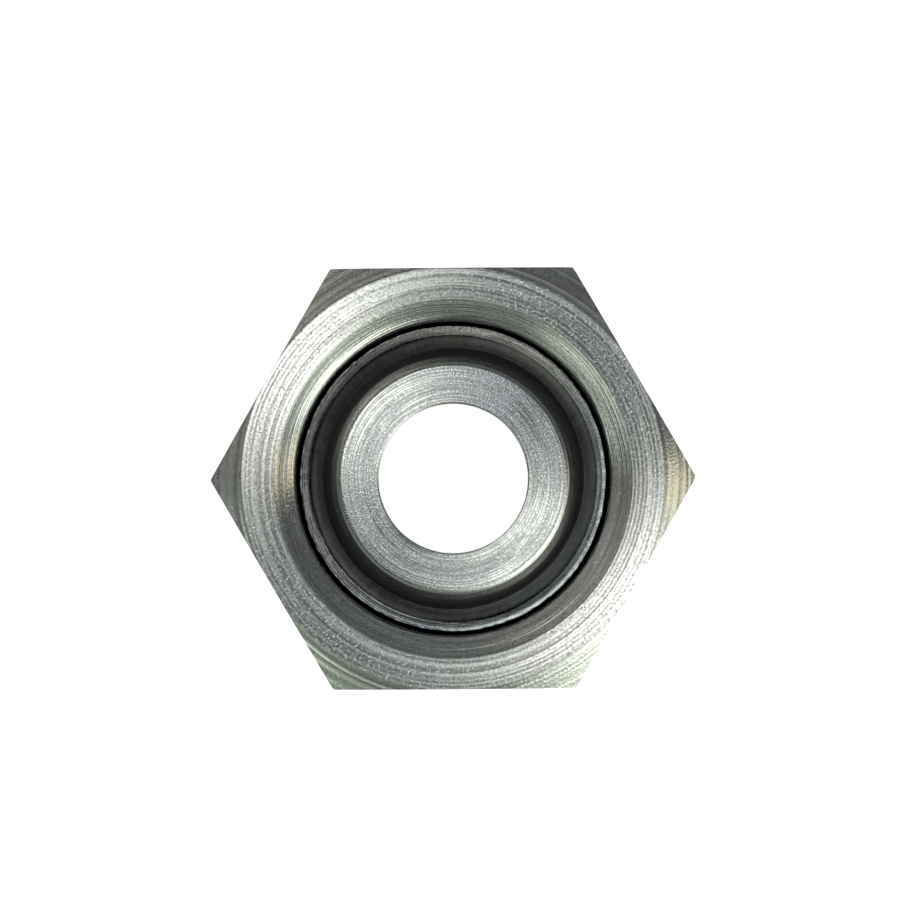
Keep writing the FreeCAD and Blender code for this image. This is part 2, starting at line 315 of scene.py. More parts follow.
# %% The O-ring
SEAL_R = (ring_high.z - ring_low.z) / MM / 2
SEAL_MIDDLE_R = ring_high.x / MM - SEAL_R
SEAL_HEIGHT = (ring_high.z + ring_low.z) / MM / 2
SEAL_STEPS = 40
SEAL_SEGMENTS = 180
SEAL_EDGE = 0.02
FLASH_HEIGHT = 0.012


def seal_corners():
    """The corners of the ring's round section, with the flash line at its two sides."""
    corners = []
    for index in range(SEAL_STEPS):
        angle = -2 * math.pi * index / SEAL_STEPS
        flash = FLASH_HEIGHT if index in (0, SEAL_STEPS // 2) else 0.0
        reach = SEAL_R - FLASH_HEIGHT + flash
        across = SEAL_MIDDLE_R + reach * math.cos(angle)
        corners.append((across, SEAL_HEIGHT + reach * math.sin(angle), SEAL_EDGE))
    return corners


seal = spun_mesh("seal_ring", seal_corners(), SEAL_SEGMENTS)
print("O-ring: section", round(2 * SEAL_R, 2), "mm")

# %% [markdown]
# The thread is cut by one tool that travels along the axis while the nut turns, so its surface
# follows a rule: the radius depends only on the height above the tool's own helix. Geometry Nodes
# can state that rule directly. A flat grid is bent into a tube, and each row of the grid runs along
# the helix, so that the thread's crests and roots stay crisp. The mouth of the nut is a 45 degree
# cone, and whichever cut is deeper wins, which gives the curved start of the thread.

# %% Sizes of the nut
FLATS_R = nut_high.y / MM
HEX_FACE_R = 11.05
HEX_SLOPE = math.tan(math.radians(30.0))
CORNER_TRIM_R = 12.68
THREAD_CLEARANCE = 0.195
THREAD_DEPTH = 0.72
THREAD_PITCH = 1.5
THREAD_ROOT_FLAT = 0.125
MOUTH_LIP = 1.05
MOUTH_ROUND = 0.12
RELIEF_DEPTH = 0.84
RELIEF_ABOVE_SHOULDER = 0.8
SKIRT_R = 10.1
SKIRT_LENGTH = 3.6
SKIRT_END_R = 8.5
SKIRT_TAPER = 1.7
SWIVEL_GAP = 0.3
THRUST_GAP = 0.25

THREAD_MINOR_R = SHOULDER_R + THREAD_CLEARANCE
THREAD_MAJOR_R = THREAD_MINOR_R + THREAD_DEPTH
MOUTH_R = THREAD_MINOR_R + MOUTH_LIP
RELIEF_R = THREAD_MINOR_R + RELIEF_DEPTH
HOLE_R = NECK_R + SWIVEL_GAP
SEAT_BASE = NECK_TOP - (THRUST_GAP / math.cos(math.radians(45.0)) - SWIVEL_GAP)
SEAT_TOP = SEAT_BASE + RELIEF_R - HOLE_R
THREAD_END = SHOULDER_TOP + RELIEF_ABOVE_SHOULDER
THREAD_START_ANGLE = math.radians(325.0)
FLANK_SLOPE = math.tan(math.radians(60.0))
ROWS_PER_PITCH = 24

# %% The thread as a node tree


def fill_sockets(tree, sockets, values):
    """Gives each socket a plain value, or a link from another node's output."""
    for socket, value in zip(sockets, values):
        if isinstance(value, bpy.types.NodeSocket):
            tree.links.new(value, socket)
        else:
            socket.default_value = value


def math_node(tree, operation, *values):
    """One Math node, fed by numbers or outputs."""
    node = tree.nodes.new("ShaderNodeMath")
    node.operation = operation
    fill_sockets(tree, node.inputs, values)
    return node.outputs[0]


def vector_of(tree, first, second, third):
    """One vector from three values."""
    node = tree.nodes.new("ShaderNodeCombineXYZ")
    fill_sockets(tree, node.inputs, (first, second, third))
    return node.outputs[0]


def thread_tree():
    """Nodes that bend a grid into the threaded bore of the nut."""
    tree = bpy.data.node_groups.new("threaded_bore", "GeometryNodeTree")
    for name in ("Pitch", "Minor Radius", "Major Radius", "Mouth Radius", "Relief Radius", "Bottom", "Top",
                 "Start Angle"):
        tree.interface.new_socket(name, in_out="INPUT", socket_type="NodeSocketFloat")
    tree.interface.new_socket("Material", in_out="INPUT", socket_type="NodeSocketMaterial")
    tree.interface.new_socket("Geometry", in_out="OUTPUT", socket_type="NodeSocketGeometry")
    source = tree.nodes.new("NodeGroupInput").outputs
    rows = int(math.ceil((NUT_FACE - THREAD_END) / THREAD_PITCH + 1.0) * ROWS_PER_PITCH) + 1

    grid = tree.nodes.new("GeometryNodeMeshGrid")
    grid.inputs["Size X"].default_value = 1.0
    grid.inputs["Size Y"].default_value = 1.0
    grid.inputs["Vertices X"].default_value = SEGMENTS + 1
    grid.inputs["Vertices Y"].default_value = rows
    place = tree.nodes.new("GeometryNodeInputPosition")
    split = tree.nodes.new("ShaderNodeSeparateXYZ")
    tree.links.new(place.outputs[0], split.inputs[0])
    turn = math_node(tree, "ADD", split.outputs["X"], 0.5)
    row = math_node(tree, "MULTIPLY", math_node(tree, "ADD", split.outputs["Y"], 0.5), rows - 1)
    angle = math_node(tree, "MULTIPLY", turn, 2 * math.pi)

    # A right-hand thread rises towards the mouth as it turns anticlockwise.
    step = math_node(tree, "DIVIDE", source["Pitch"], ROWS_PER_PITCH)
    lift = math_node(tree, "MULTIPLY", math_node(tree, "SUBTRACT", turn, 1.0), source["Pitch"])
    climbed = math_node(tree, "MULTIPLY", math_node(tree, "SUBTRACT", row, 1.0), step)
    free = math_node(tree, "ADD", climbed, lift)
    high = math_node(tree, "ADD", free, source["Bottom"])
    height = math_node(tree, "MINIMUM", math_node(tree, "MAXIMUM", high, source["Bottom"]), source["Top"])

    # The phase runs from 0 to 1 across one pitch and is 0.5 at the middle of a root.
    shift = math_node(tree, "DIVIDE", source["Start Angle"], 2 * math.pi)
    cycles = math_node(tree, "SUBTRACT", math_node(tree, "DIVIDE", height, source["Pitch"]), turn)
    phase = math_node(tree, "FRACT", math_node(tree, "ADD", cycles, shift))
    from_root = math_node(tree, "ABSOLUTE", math_node(tree, "SUBTRACT", phase, 0.5))
    beyond = math_node(tree, "SUBTRACT", math_node(tree, "MULTIPLY", from_root, source["Pitch"]),
                       math_node(tree, "MULTIPLY", source["Pitch"], THREAD_ROOT_FLAT / 2))
    climb = math_node(tree, "MULTIPLY", math_node(tree, "MAXIMUM", beyond, 0.0), FLANK_SLOPE)
    cut = math_node(tree, "MAXIMUM", math_node(tree, "SUBTRACT", source["Major Radius"], climb),
                    source["Minor Radius"])
    depth = math_node(tree, "SUBTRACT", source["Top"], height)
    mouth = math_node(tree, "SUBTRACT", source["Mouth Radius"], depth)
    wall = math_node(tree, "MAXIMUM", cut, mouth)
    first = math_node(tree, "LESS_THAN", row, 0.5)
    radius = math_node(tree, "MAXIMUM", wall, math_node(tree, "MULTIPLY", first, source["Relief Radius"]))
    bent = vector_of(tree, math_node(tree, "MULTIPLY", radius, math_node(tree, "COSINE", angle)),
                     math_node(tree, "MULTIPLY", radius, math_node(tree, "SINE", angle)), height)

    bend = tree.nodes.new("GeometryNodeSetPosition")
    tree.links.new(grid.outputs["Mesh"], bend.inputs["Geometry"])
    tree.links.new(bent, bend.inputs["Position"])
    real = tree.nodes.new("GeometryNodeRealizeInstances")
    tree.links.new(bend.outputs[0], real.inputs[0])
    finish = tree.nodes.new("GeometryNodeSetMaterial")
    tree.links.new(real.outputs[0], finish.inputs["Geometry"])
    tree.links.new(source["Material"], finish.inputs["Material"])
    end = tree.nodes.new("NodeGroupOutput")
    tree.links.new(finish.outputs[0], end.inputs[0])
    return tree


# %% [markdown]
# A modifier's inputs are set by the identifier of each socket. The result is read back as a plain
# mesh, and the modifier's host is removed, so nothing live is left in the file.

# %% Thread mesh from the tree


def mesh_from_tree(tree, settings):
    """The plain mesh that a node tree makes with these named inputs."""
    host = add_object("tree_host", bpy.data.meshes.new("tree_host"))
    modifier = host.modifiers.new("tree", "NODES")
    modifier.node_group = tree
    for item in tree.interface.items_tree:
        if item.in_out == "INPUT" and item.name in settings:
            modifier[item.identifier] = settings[item.name]
    bpy.context.view_layer.update()
    evaluated = host.evaluated_get(bpy.context.evaluated_depsgraph_get())
    mesh = bpy.data.meshes.new_from_object(evaluated)
    bpy.data.objects.remove(host)
    return mesh


thread_mesh = mesh_from_tree(thread_tree(), {
    "Pitch": THREAD_PITCH * MM,
    "Minor Radius": THREAD_MINOR_R * MM,
    "Major Radius": THREAD_MAJOR_R * MM,
    "Mouth Radius": (MOUTH_R - MOUTH_ROUND) * MM,
    "Relief Radius": RELIEF_R * MM,
    "Bottom": THREAD_END * MM,
    "Top": (NUT_FACE - MOUTH_ROUND) * MM,
    "Start Angle": THREAD_START_ANGLE,
})
print("thread:", len(thread_mesh.vertices), "points")

# %% [markdown]
# The rest of the nut is a stack of closed loops around the axis, from the edge of the mouth over the
# face, down the hexagon and up through the rear hole to the thread. Each loop has one point for each
# degree, the same as the thread, so the two are welded into one closed solid. The hexagon's radius
# at an angle comes from the distance across its flats, and its corners are chamfered as a cone.

# %% The nut's outer loops
ANGLES = np.arange(SEGMENTS) * 2 * math.pi / SEGMENTS
CORNER_DROP = 0.02
MOUTH_SPREAD = 2.4
FACE_INSET = 0.05
SKIRT_ROOT = 0.1
SKIRT_BEND = 0.25
PRESS_ROUND = 0.35
TIP_INSET = 0.2
HOLE_EDGE = 0.15


def hexagon_radius(angles):
    """Distance from the axis to the hexagon, with corners at 0, 60, 120 degrees and so on."""
    from_flat = (np.degrees(angles) % 60.0) - 30.0
    return np.minimum(FLATS_R / np.cos(np.radians(from_flat)), CORNER_TRIM_R)


def nut_loops():
    """Pairs of radius and height, each a number or an array around the nut."""
    wall = hexagon_radius(ANGLES)
    face_edge = np.minimum(HEX_FACE_R, wall - CORNER_DROP)
    drop = (wall - face_edge) * HEX_SLOPE
    hex_rear = NUT_REAR + SKIRT_LENGTH
    loops = [(MOUTH_R - MOUTH_ROUND, NUT_FACE - MOUTH_ROUND)]
    for share in (0.25, 0.5, 0.75, 1.0):
        lift = MOUTH_ROUND * (1 - (1 - share) ** 2)
        across = MOUTH_R - MOUTH_ROUND + share * MOUTH_SPREAD * MOUTH_ROUND
        loops.append((across, NUT_FACE - MOUTH_ROUND + lift))
    loops += [(face_edge - FACE_INSET, NUT_FACE)]
    loops += [(face_edge, NUT_FACE), (wall, NUT_FACE - drop), (wall, hex_rear + drop)]
    loops += [(face_edge, hex_rear), (SKIRT_R + SKIRT_ROOT, hex_rear), (SKIRT_R, hex_rear - SKIRT_ROOT)]

    # The pressed-in end of the skirt is one smooth curve from its side to its rear face.
    start = np.array((SKIRT_R, NUT_REAR + SKIRT_TAPER + SKIRT_BEND))
    knee = np.array((SKIRT_R, NUT_REAR + SKIRT_TAPER))
    toe = np.array((SKIRT_END_R + PRESS_ROUND, NUT_REAR + PRESS_ROUND))
    tip = np.array((SKIRT_END_R - TIP_INSET, NUT_REAR))
    loops += [(start[0], start[1])]
    for share in np.linspace(0.1, 1.0, 10):
        rest = 1 - share
        point = rest ** 3 * start + 3 * rest ** 2 * share * knee
        point = point + 3 * rest * share ** 2 * toe + share ** 3 * tip
        loops.append((point[0], point[1]))
    loops += [(HOLE_R + HOLE_EDGE, NUT_REAR), (HOLE_R, NUT_REAR + HOLE_EDGE), (HOLE_R, SEAT_BASE)]
    loops += [(RELIEF_R, SEAT_TOP), (RELIEF_R, THREAD_END)]
    return loops


def bmesh_from_loops(loops):
    """A tube through loops of points around the axis."""
    made = bmesh.new()
    rings = []
    for across, along in loops:
        across = np.broadcast_to(across, ANGLES.shape)
        along = np.broadcast_to(along, ANGLES.shape)
        spots = np.stack((across * np.cos(ANGLES), across * np.sin(ANGLES), along), axis=1) * MM
        rings.append([made.verts.new(spot) for spot in spots])
    for lower, upper in zip(rings, rings[1:]):
        for index in range(SEGMENTS):
            after = (index + 1) % SEGMENTS
            made.faces.new((lower[index], lower[after], upper[after], upper[index]))
    return made


def bmesh_volume(mesh):
    """The volume that a closed mesh holds."""
    made = bmesh.new()
    made.from_mesh(mesh)
    volume = made.calc_volume()
    made.free()
    return volume


# %% Weld the nut
WELD = 2e-6
SHARP_ANGLE = math.radians(24.0)

shell = bmesh_from_loops(nut_loops())
shell.from_mesh(thread_mesh)
bmesh.ops.remove_doubles(shell, verts=shell.verts, dist=WELD)
bmesh.ops.dissolve_degenerate(shell, dist=WELD / 4, edges=shell.edges)
open_edges = [edge for edge in shell.edges if len(edge.link_faces) != 2]
print("nut: open edges", len(open_edges))


# %% [markdown]
# The shading follows the real edges: smooth along a turned surface, and a hard break wherever two
# cuts meet. Edges that bend more than SHARP_ANGLE are marked sharp. The normals are recalculated
# first, because the loops and the thread were made in different directions.

# %% Finish the nut's mesh
bmesh.ops.recalc_face_normals(shell, faces=shell.faces)
for face in shell.faces:
    face.smooth = True
nut_mesh = bpy.data.meshes.new("threaded_nut")
shell.to_mesh(nut_mesh)
shell.free()
nut_mesh.set_sharp_from_angle(angle=SHARP_ANGLE)
nut = add_object("threaded_nut", nut_mesh)
bpy.data.meshes.remove(thread_mesh)
print("nut:", len(nut_mesh.polygons), "faces, volume", round(bmesh_volume(nut_mesh) * 1e9), "mm3")

# %% [markdown]
# Each new piece rides on the body that carries the solid it stands for, so the nut still swivels
# and the O-ring stays on the stem.

# %% Tie the pieces to the frame
for piece, body, node, slot in (
    (stem, "stem", "hose_stem", "stem_steel"),
    (seal, "stem", "o_ring", "seal_rubber"),
    (nut, "nut", "union_nut", "nut_steel"),
):
    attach(piece, body)
    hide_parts(node)
    print(piece.name, "stands for", node)

# %% [markdown]
# Not every surface was cut alike. The faces that the tool squared off are the coarsest, the cones
# and the thread are finer, and the burr is smeared nearly smooth. The flats of the hexagon were
# never turned: they are the skin of the drawn bar, with fine lines along the axis. Each mesh
# carries this in two values for each face, which the steel reads.

# %% Where the cuts are coarse, and where the bar is as drawn
COARSE_FACE = 1.0
COARSE_CHAMFER = 0.68
COARSE_MOUTH = 0.68
COARSE_NUT = 0.6
COARSE_THREAD = 0.5
COARSE_SHOULDER = 1.5
COARSE_STEM = 0.45
COARSE_BURR = 0.3
FRONT_DEPTH = 3.0
MOUTH_DEPTH = 1.2
FACE_BAND = 0.15
SHOULDER_BAND = 0.2
BURR_MIDDLE = 0.02
BURR_BAND = 0.018
BURR_REACH = 0.3


def mark_faces(piece, rate):
    """Gives each face a coarse and a drawn value, from its distance, height and normal."""
    mesh = piece.data
    middle = read_vectors(mesh.polygons, "center") / MM
    facing = read_vectors(mesh.polygons, "normal")
    reach = np.hypot(middle[:, 0], middle[:, 1])
    coarse, drawn = rate(reach, middle[:, 2], facing[:, 2])
    mesh.attributes.new("coarse", "FLOAT", "FACE").data.foreach_set("value", coarse)
    mesh.attributes.new("drawn", "FLOAT", "FACE").data.foreach_set("value", drawn)
    print(piece.name, "coarse faces:", int((coarse > 0.9).sum()), "drawn faces:", int((drawn > 0.5).sum()))


def rate_nut(reach, height, up):
    """How the nut's faces were cut."""
    inside = reach < MOUTH_R
    front = height > NUT_FACE - FRONT_DEPTH
    squared = (height > NUT_FACE - FACE_BAND) & (reach > MOUTH_R - 0.02) & (up > 0.9)
    chamfer = front & (reach > HEX_FACE_R) & (up > 0.5) & (up < 0.95)
    coarse = np.where(inside | (height < NUT_FACE - FRONT_DEPTH), COARSE_THREAD, COARSE_NUT)
    coarse = np.where(inside & (height > NUT_FACE - MOUTH_DEPTH), COARSE_MOUTH, coarse)
    coarse = np.where(squared, COARSE_FACE, coarse)
    coarse = np.where(chamfer, COARSE_CHAMFER, coarse)
    drawn = (reach > HEX_FACE_R - 0.3) & (np.abs(up) < 0.1)
    return coarse, drawn.astype(float)


def rate_stem(reach, height, up):
    """How the stem's faces were cut."""
    level = up > 0.7
    coarse = np.where(level & (np.abs(height - SHOULDER_TOP) < SHOULDER_BAND), COARSE_SHOULDER, COARSE_STEM)
    burr = level & (np.abs(height - SHOULDER_TOP - BURR_MIDDLE) < BURR_BAND)
    burr = burr & (reach > SHOULDER_R - BURR_REACH)
    return np.where(burr, COARSE_BURR, coarse), np.zeros(len(reach))


mark_faces(nut, rate_nut)
mark_faces(stem, rate_stem)

# %% [markdown]
# A lathe tool leaves fine rings around the axis, and bright zinc plate keeps them. All the steel
# shares this, so it is one node group. It works in the distance from the axis and the height, which
# change across the rings, and in the cosine and sine of the angle, which change along them. A 4D
# noise of those has no seam, and a small angle factor stretches it into long rings. The feed of the
# tool is an even wave across them. The grain of the plate has no direction, and neither have the
# glints. The glints are painted highlights: small spots that the steel gives a near-white colour and
# a slight bump. Both read the plain position.

# %% Helpers for shader nodes


def new_group(name, inputs, outputs):
    """An empty shader node group with named sockets."""
    tree = bpy.data.node_groups.new(name, "ShaderNodeTree")
    for label, kind, value in inputs:
        socket = tree.interface.new_socket(label, in_out="INPUT", socket_type=kind)
        if value is not None:
            socket.default_value = value
    for label in outputs:
        tree.interface.new_socket(label, in_out="OUTPUT", socket_type="NodeSocketFloat")
    return tree


def noise_4d(tree, vector, fourth, detail, roughness=0.55):
    """The value of a 4D noise, from 0 to 1. Its fourth place is a number or another value."""
    node = tree.nodes.new("ShaderNodeTexNoise")
    node.noise_dimensions = "4D"
    node.inputs["Scale"].default_value = 1.0
    node.inputs["Detail"].default_value = detail
    node.inputs["Roughness"].default_value = roughness
    fill_sockets(tree, (node.inputs["Vector"], node.inputs["W"]), (vector, fourth))
    return node.outputs["Fac"]


def spread(tree, value, low, high, to_low=0.0, to_high=1.0):
    """A value moved from one range to another, and held at its ends."""
    node = tree.nodes.new("ShaderNodeMapRange")
    labels = ("Value", "From Min", "From Max", "To Min", "To Max")
    fill_sockets(tree, [node.inputs[label] for label in labels], (value, low, high, to_low, to_high))
    return node.outputs["Result"]


# %% The marks of the lathe
NOISE_RANGE = (0.3, 0.7)
FEED_RANGE = (0.35, 0.6)
GLINT_RANGE = (0.62, 0.74)
WAVES_PER_RING = 0.3
FEED_WANDER = 0.8
DRAWS_PER_MM = 9.0
DRAWS_ALONG_PER_MM = 0.15


def turning_marks():
    """Feed lines, rings, waves and grain of turning, spots for painted glints, lines of drawing, and the
    smooth bore.
    """
    tree = new_group(
        "turning_marks",
        [
            ("Vector", "NodeSocketVector", None),
            ("Feed Lines Per mm", "NodeSocketFloat", 5.0),
            ("Rings Per mm", "NodeSocketFloat", 5.0),
            ("Ring Breaks", "NodeSocketFloat", 2.0),
            ("Grain Per mm", "NodeSocketFloat", 8.0),
            ("Bore Radius", "NodeSocketFloat", 0.0),
        ],
        ["Feed", "Rings", "Waves", "Grain", "Glints", "Draws", "Bore"],
    )
    source = tree.nodes.new("NodeGroupInput").outputs
    split = tree.nodes.new("ShaderNodeSeparateXYZ")
    tree.links.new(source["Vector"], split.inputs[0])
    side, depth, height = split.outputs
    squares = math_node(tree, "MULTIPLY_ADD", side, side, math_node(tree, "MULTIPLY", depth, depth))
    radius = math_node(tree, "MAXIMUM", math_node(tree, "SQRT", squares), 1e-6)
    cosine = math_node(tree, "DIVIDE", side, radius)
    sine = math_node(tree, "DIVIDE", depth, radius)
    across = math_node(tree, "MULTIPLY", radius, 1 / MM)
    along = math_node(tree, "MULTIPLY", height, 1 / MM)

    def ringed(density, breaks, detail):
        """Noise that is fine across the rings and slow along them."""
        vector = vector_of(tree, math_node(tree, "MULTIPLY", across, density),
                           math_node(tree, "MULTIPLY", along, density),
                           math_node(tree, "MULTIPLY", cosine, breaks))
        return noise_4d(tree, vector, math_node(tree, "MULTIPLY", sine, breaks), detail)

    rings = spread(tree, ringed(source["Rings Per mm"], source["Ring Breaks"], 0.0), *NOISE_RANGE)
    wide = math_node(tree, "MULTIPLY", source["Rings Per mm"], WAVES_PER_RING)
    waves = spread(tree, ringed(wide, source["Ring Breaks"], 0.0), *NOISE_RANGE)

    # Each feed line is one rise and fall. The lines wander a little, and fade in and out.
    path = math_node(tree, "MULTIPLY", math_node(tree, "ADD", across, along), source["Feed Lines Per mm"])
    path = math_node(tree, "MULTIPLY_ADD", waves, FEED_WANDER, path)
    feed = math_node(tree, "PINGPONG", math_node(tree, "MULTIPLY", path, 2.0), 1.0)
    broken = math_node(tree, "MULTIPLY", source["Ring Breaks"], 2.0)
    strong = spread(tree, ringed(wide, broken, 1.0), *FEED_RANGE)
    feed = math_node(tree, "MULTIPLY_ADD", math_node(tree, "SUBTRACT", feed, 0.5), strong, 0.5)

    scale = tree.nodes.new("ShaderNodeVectorMath")
    scale.operation = "SCALE"
    tree.links.new(source["Vector"], scale.inputs[0])
    tree.links.new(math_node(tree, "MULTIPLY", source["Grain Per mm"], 1 / MM), scale.inputs["Scale"])
    grain = spread(tree, noise_4d(tree, scale.outputs[0], 0.0, 1.0), *NOISE_RANGE)
    glints = spread(tree, noise_4d(tree, scale.outputs[0], 7.0, 0.0), *GLINT_RANGE)
    streaks = vector_of(tree, math_node(tree, "MULTIPLY", side, DRAWS_PER_MM / MM),
                        math_node(tree, "MULTIPLY", depth, DRAWS_PER_MM / MM),
                        math_node(tree, "MULTIPLY", along, DRAWS_ALONG_PER_MM))
    draws = spread(tree, noise_4d(tree, streaks, radius, 2.0), *NOISE_RANGE)
    bore = math_node(tree, "LESS_THAN", radius, source["Bore Radius"])
    end = tree.nodes.new("NodeGroupOutput")
    made = {"Feed": feed, "Rings": rings, "Waves": waves, "Grain": grain, "Glints": glints, "Draws": draws,
            "Bore": bore}
    for label, value in made.items():
        tree.links.new(value, end.inputs[label])
    return tree


marks_group = turning_marks()
print("group:", marks_group.name)

# %% [markdown]
# Zinc plate over steel is a bright metal with a broken, silky reflection. The rings stretch the
# reflection outwards from the axis, which an anisotropic shader does for the rings too small to
# model, while a bump shows the ones that can be seen one by one. Nut and stem were cut with
# different feeds, so each has its own values.

# %% Plated steel
STREAK_TURN = 0.25
# The near-white colour of the painted glint spots, which the polished bore's wall also takes
GLINT_PAINT_AND_BORE_ZINC = (0.95, 0.95, 0.93, 1)
DRAWN_DEPTH = 0.8
DRAWN_SHADE = (0.3, 0.1)
HALF_CONTRAST = 0.25
BORE_POLISH = 0.5


def mix_colors(tree, share, low, high):
    """A colour between two others."""
    node = tree.nodes.new("ShaderNodeMix")
    node.data_type = "RGBA"
    ends = [item for item in node.inputs if item.name in ("A", "B") and item.type == "RGBA"]
    fill_sockets(tree, ends, (low, high))
    tree.links.new(share, node.inputs["Factor"])
    return [item for item in node.outputs if item.type == "RGBA"][0]


def read_attribute(tree, name):
    """A value that the mesh itself carries."""
    node = tree.nodes.new("ShaderNodeAttribute")
    node.attribute_name = name
    return node.outputs["Fac"]


def plated_steel(name, marks_values, weights, glint_depth, roughness, streak, bump, light, dark):
    """A turned, zinc-plated steel. Each mark has a depth in the relief and a share in the shade."""
    material = bpy.data.materials.new(name)
    material.use_nodes = True
    tree = material.node_tree
    shader = tree.nodes["Principled BSDF"]
    shader.inputs["Metallic"].default_value = 1.0
    shader.inputs["Anisotropic"].default_value = streak
    shader.inputs["Anisotropic Rotation"].default_value = STREAK_TURN
    place = tree.nodes.new("ShaderNodeTexCoord")
    marks = tree.nodes.new("ShaderNodeGroup")
    marks.node_tree = marks_group
    for label, value in marks_values.items():
        marks.inputs[label].default_value = value
    tree.links.new(place.outputs["Object"], marks.inputs["Vector"])
    tangent = tree.nodes.new("ShaderNodeTangent")
    tangent.direction_type = "RADIAL"
    tangent.axis = "Z"
    tree.links.new(tangent.outputs[0], shader.inputs["Tangent"])

    coarse = read_attribute(tree, "coarse")
    drawn = read_attribute(tree, "drawn")
    turned = math_node(tree, "SUBTRACT", coarse, math_node(tree, "MULTIPLY", coarse, drawn))
    relief = math_node(tree, "MULTIPLY", marks.outputs["Draws"],
                       math_node(tree, "MULTIPLY", drawn, DRAWN_DEPTH))
    tint = 0.0
    for label, (depth, shade) in weights.items():
        share = math_node(tree, "MULTIPLY", math_node(tree, "MULTIPLY", marks.outputs[label], turned), depth)
        relief = math_node(tree, "ADD", relief, share)
        tint = math_node(tree, "ADD", tint, math_node(tree, "MULTIPLY", marks.outputs[label], shade))
    middle = sum(shade for depth, shade in weights.values()) / 2
    tint = spread(tree, tint, middle - HALF_CONTRAST, middle + HALF_CONTRAST)
    calm = math_node(tree, "MULTIPLY_ADD", math_node(tree, "SUBTRACT", tint, 0.5), coarse, 0.5)
    lines = math_node(tree, "MULTIPLY_ADD", marks.outputs["Draws"], *DRAWN_SHADE)
    skin = math_node(tree, "SUBTRACT", lines, calm)
    calm = math_node(tree, "MULTIPLY_ADD", skin, drawn, calm)
    # Glints are painted highlights: small spots set to the near-white colour, and also raised a little in the
    # bump.
    glint = math_node(tree, "MULTIPLY", marks.outputs["Glints"], spread(tree, turned, 0.6, 1.0))
    relief = math_node(tree, "MULTIPLY_ADD", glint, glint_depth, relief)
    bright = math_node(tree, "MAXIMUM", glint, marks.outputs["Bore"])
    plate = mix_colors(tree, calm, dark, light)
    tree.links.new(mix_colors(tree, bright, plate, GLINT_PAINT_AND_BORE_ZINC), shader.inputs["Base Color"])
    rough_part = math_node(tree, "SUBTRACT", 1.0, marks.outputs["Bore"])
    rough = spread(tree, coarse, 0.4, 1.0, *roughness)
    polish = spread(tree, marks.outputs["Bore"], 0.0, 1.0, 1.0, BORE_POLISH)
    tree.links.new(math_node(tree, "MULTIPLY", rough, polish), shader.inputs["Roughness"])
    raise_node = tree.nodes.new("ShaderNodeBump")
    raise_node.inputs["Distance"].default_value = bump
    tree.links.new(math_node(tree, "MULTIPLY", relief, rough_part), raise_node.inputs["Height"])
    tree.links.new(raise_node.outputs[0], shader.inputs["Normal"])
    return material


nut_steel = plated_steel(
    "plated_nut_steel",
    marks_values={"Feed Lines Per mm": 4.8, "Rings Per mm": 5.0, "Ring Breaks": 0.7, "Grain Per mm": 8.0,
                  "Bore Radius": 0.0},
    weights={"Feed": (0.45, 0.5), "Rings": (0.6, 0.4), "Waves": (0.5, 0.1), "Grain": (0.15, 0.4)},
    glint_depth=0.4, roughness=(0.1, 0.3), streak=0.98, bump=4.0e-5,
    light=(1.0, 1.0, 0.98, 1), dark=(0.36, 0.36, 0.36, 1))
stem_steel = plated_steel(
    "plated_stem_steel",
    marks_values={"Feed Lines Per mm": 6.5, "Rings Per mm": 6.5, "Ring Breaks": 1.0, "Grain Per mm": 9.0,
                  "Bore Radius": (BORE_R + 0.02) * MM},
    weights={"Feed": (0.4, 0.4), "Rings": (0.4, 0.3), "Waves": (0.4, 0.1), "Grain": (0.3, 0.35)},
    glint_depth=0.8, roughness=(0.2, 0.32), streak=0.5, bump=3.5e-5,
    light=(0.76, 0.77, 0.75, 1), dark=(0.34, 0.35, 0.34, 1))
nut.data.materials.clear()
nut.data.materials.append(nut_steel)
stem.data.materials.append(stem_steel)
print("steel:", nut_steel.name, stem_steel.name)

# %% [markdown]
# The seal is nitrile rubber: black, a little satin, with a very fine moulded grain.

# %% Black rubber


def black_rubber():
    """Satin black rubber with a fine grain."""
    material = bpy.data.materials.new("nitrile_rubber")
    material.use_nodes = True
    tree = material.node_tree
    shader = tree.nodes["Principled BSDF"]
    shader.inputs["Base Color"].default_value = (0.018, 0.018, 0.019, 1)
    shader.inputs["Roughness"].default_value = 0.5
    place = tree.nodes.new("ShaderNodeTexCoord")
    grain = tree.nodes.new("ShaderNodeTexNoise")
    grain.inputs["Scale"].default_value = 9000.0
    grain.inputs["Detail"].default_value = 2.0
    tree.links.new(place.outputs["Object"], grain.inputs["Vector"])
    raise_node = tree.nodes.new("ShaderNodeBump")
    raise_node.inputs["Distance"].default_value = 8e-6
    tree.links.new(grain.outputs["Fac"], raise_node.inputs["Height"])
    tree.links.new(raise_node.outputs[0], shader.inputs["Normal"])
    return material


seal.data.materials.append(black_rubber())
print("rubber:", seal.data.materials[0].name)

# %% [markdown]
# Bright metal shows its surroundings, so the light is a soft grey tent around the part, with
# brighter panels. Each panel is a soft patch in a direction, given by its compass angle and its
# height above the horizon in degrees. The strongest ones lie on two opposite sides, which gives the
# turned faces their two bright wedges. The tent isn't seen by the camera, and it isn't part of the
# object.

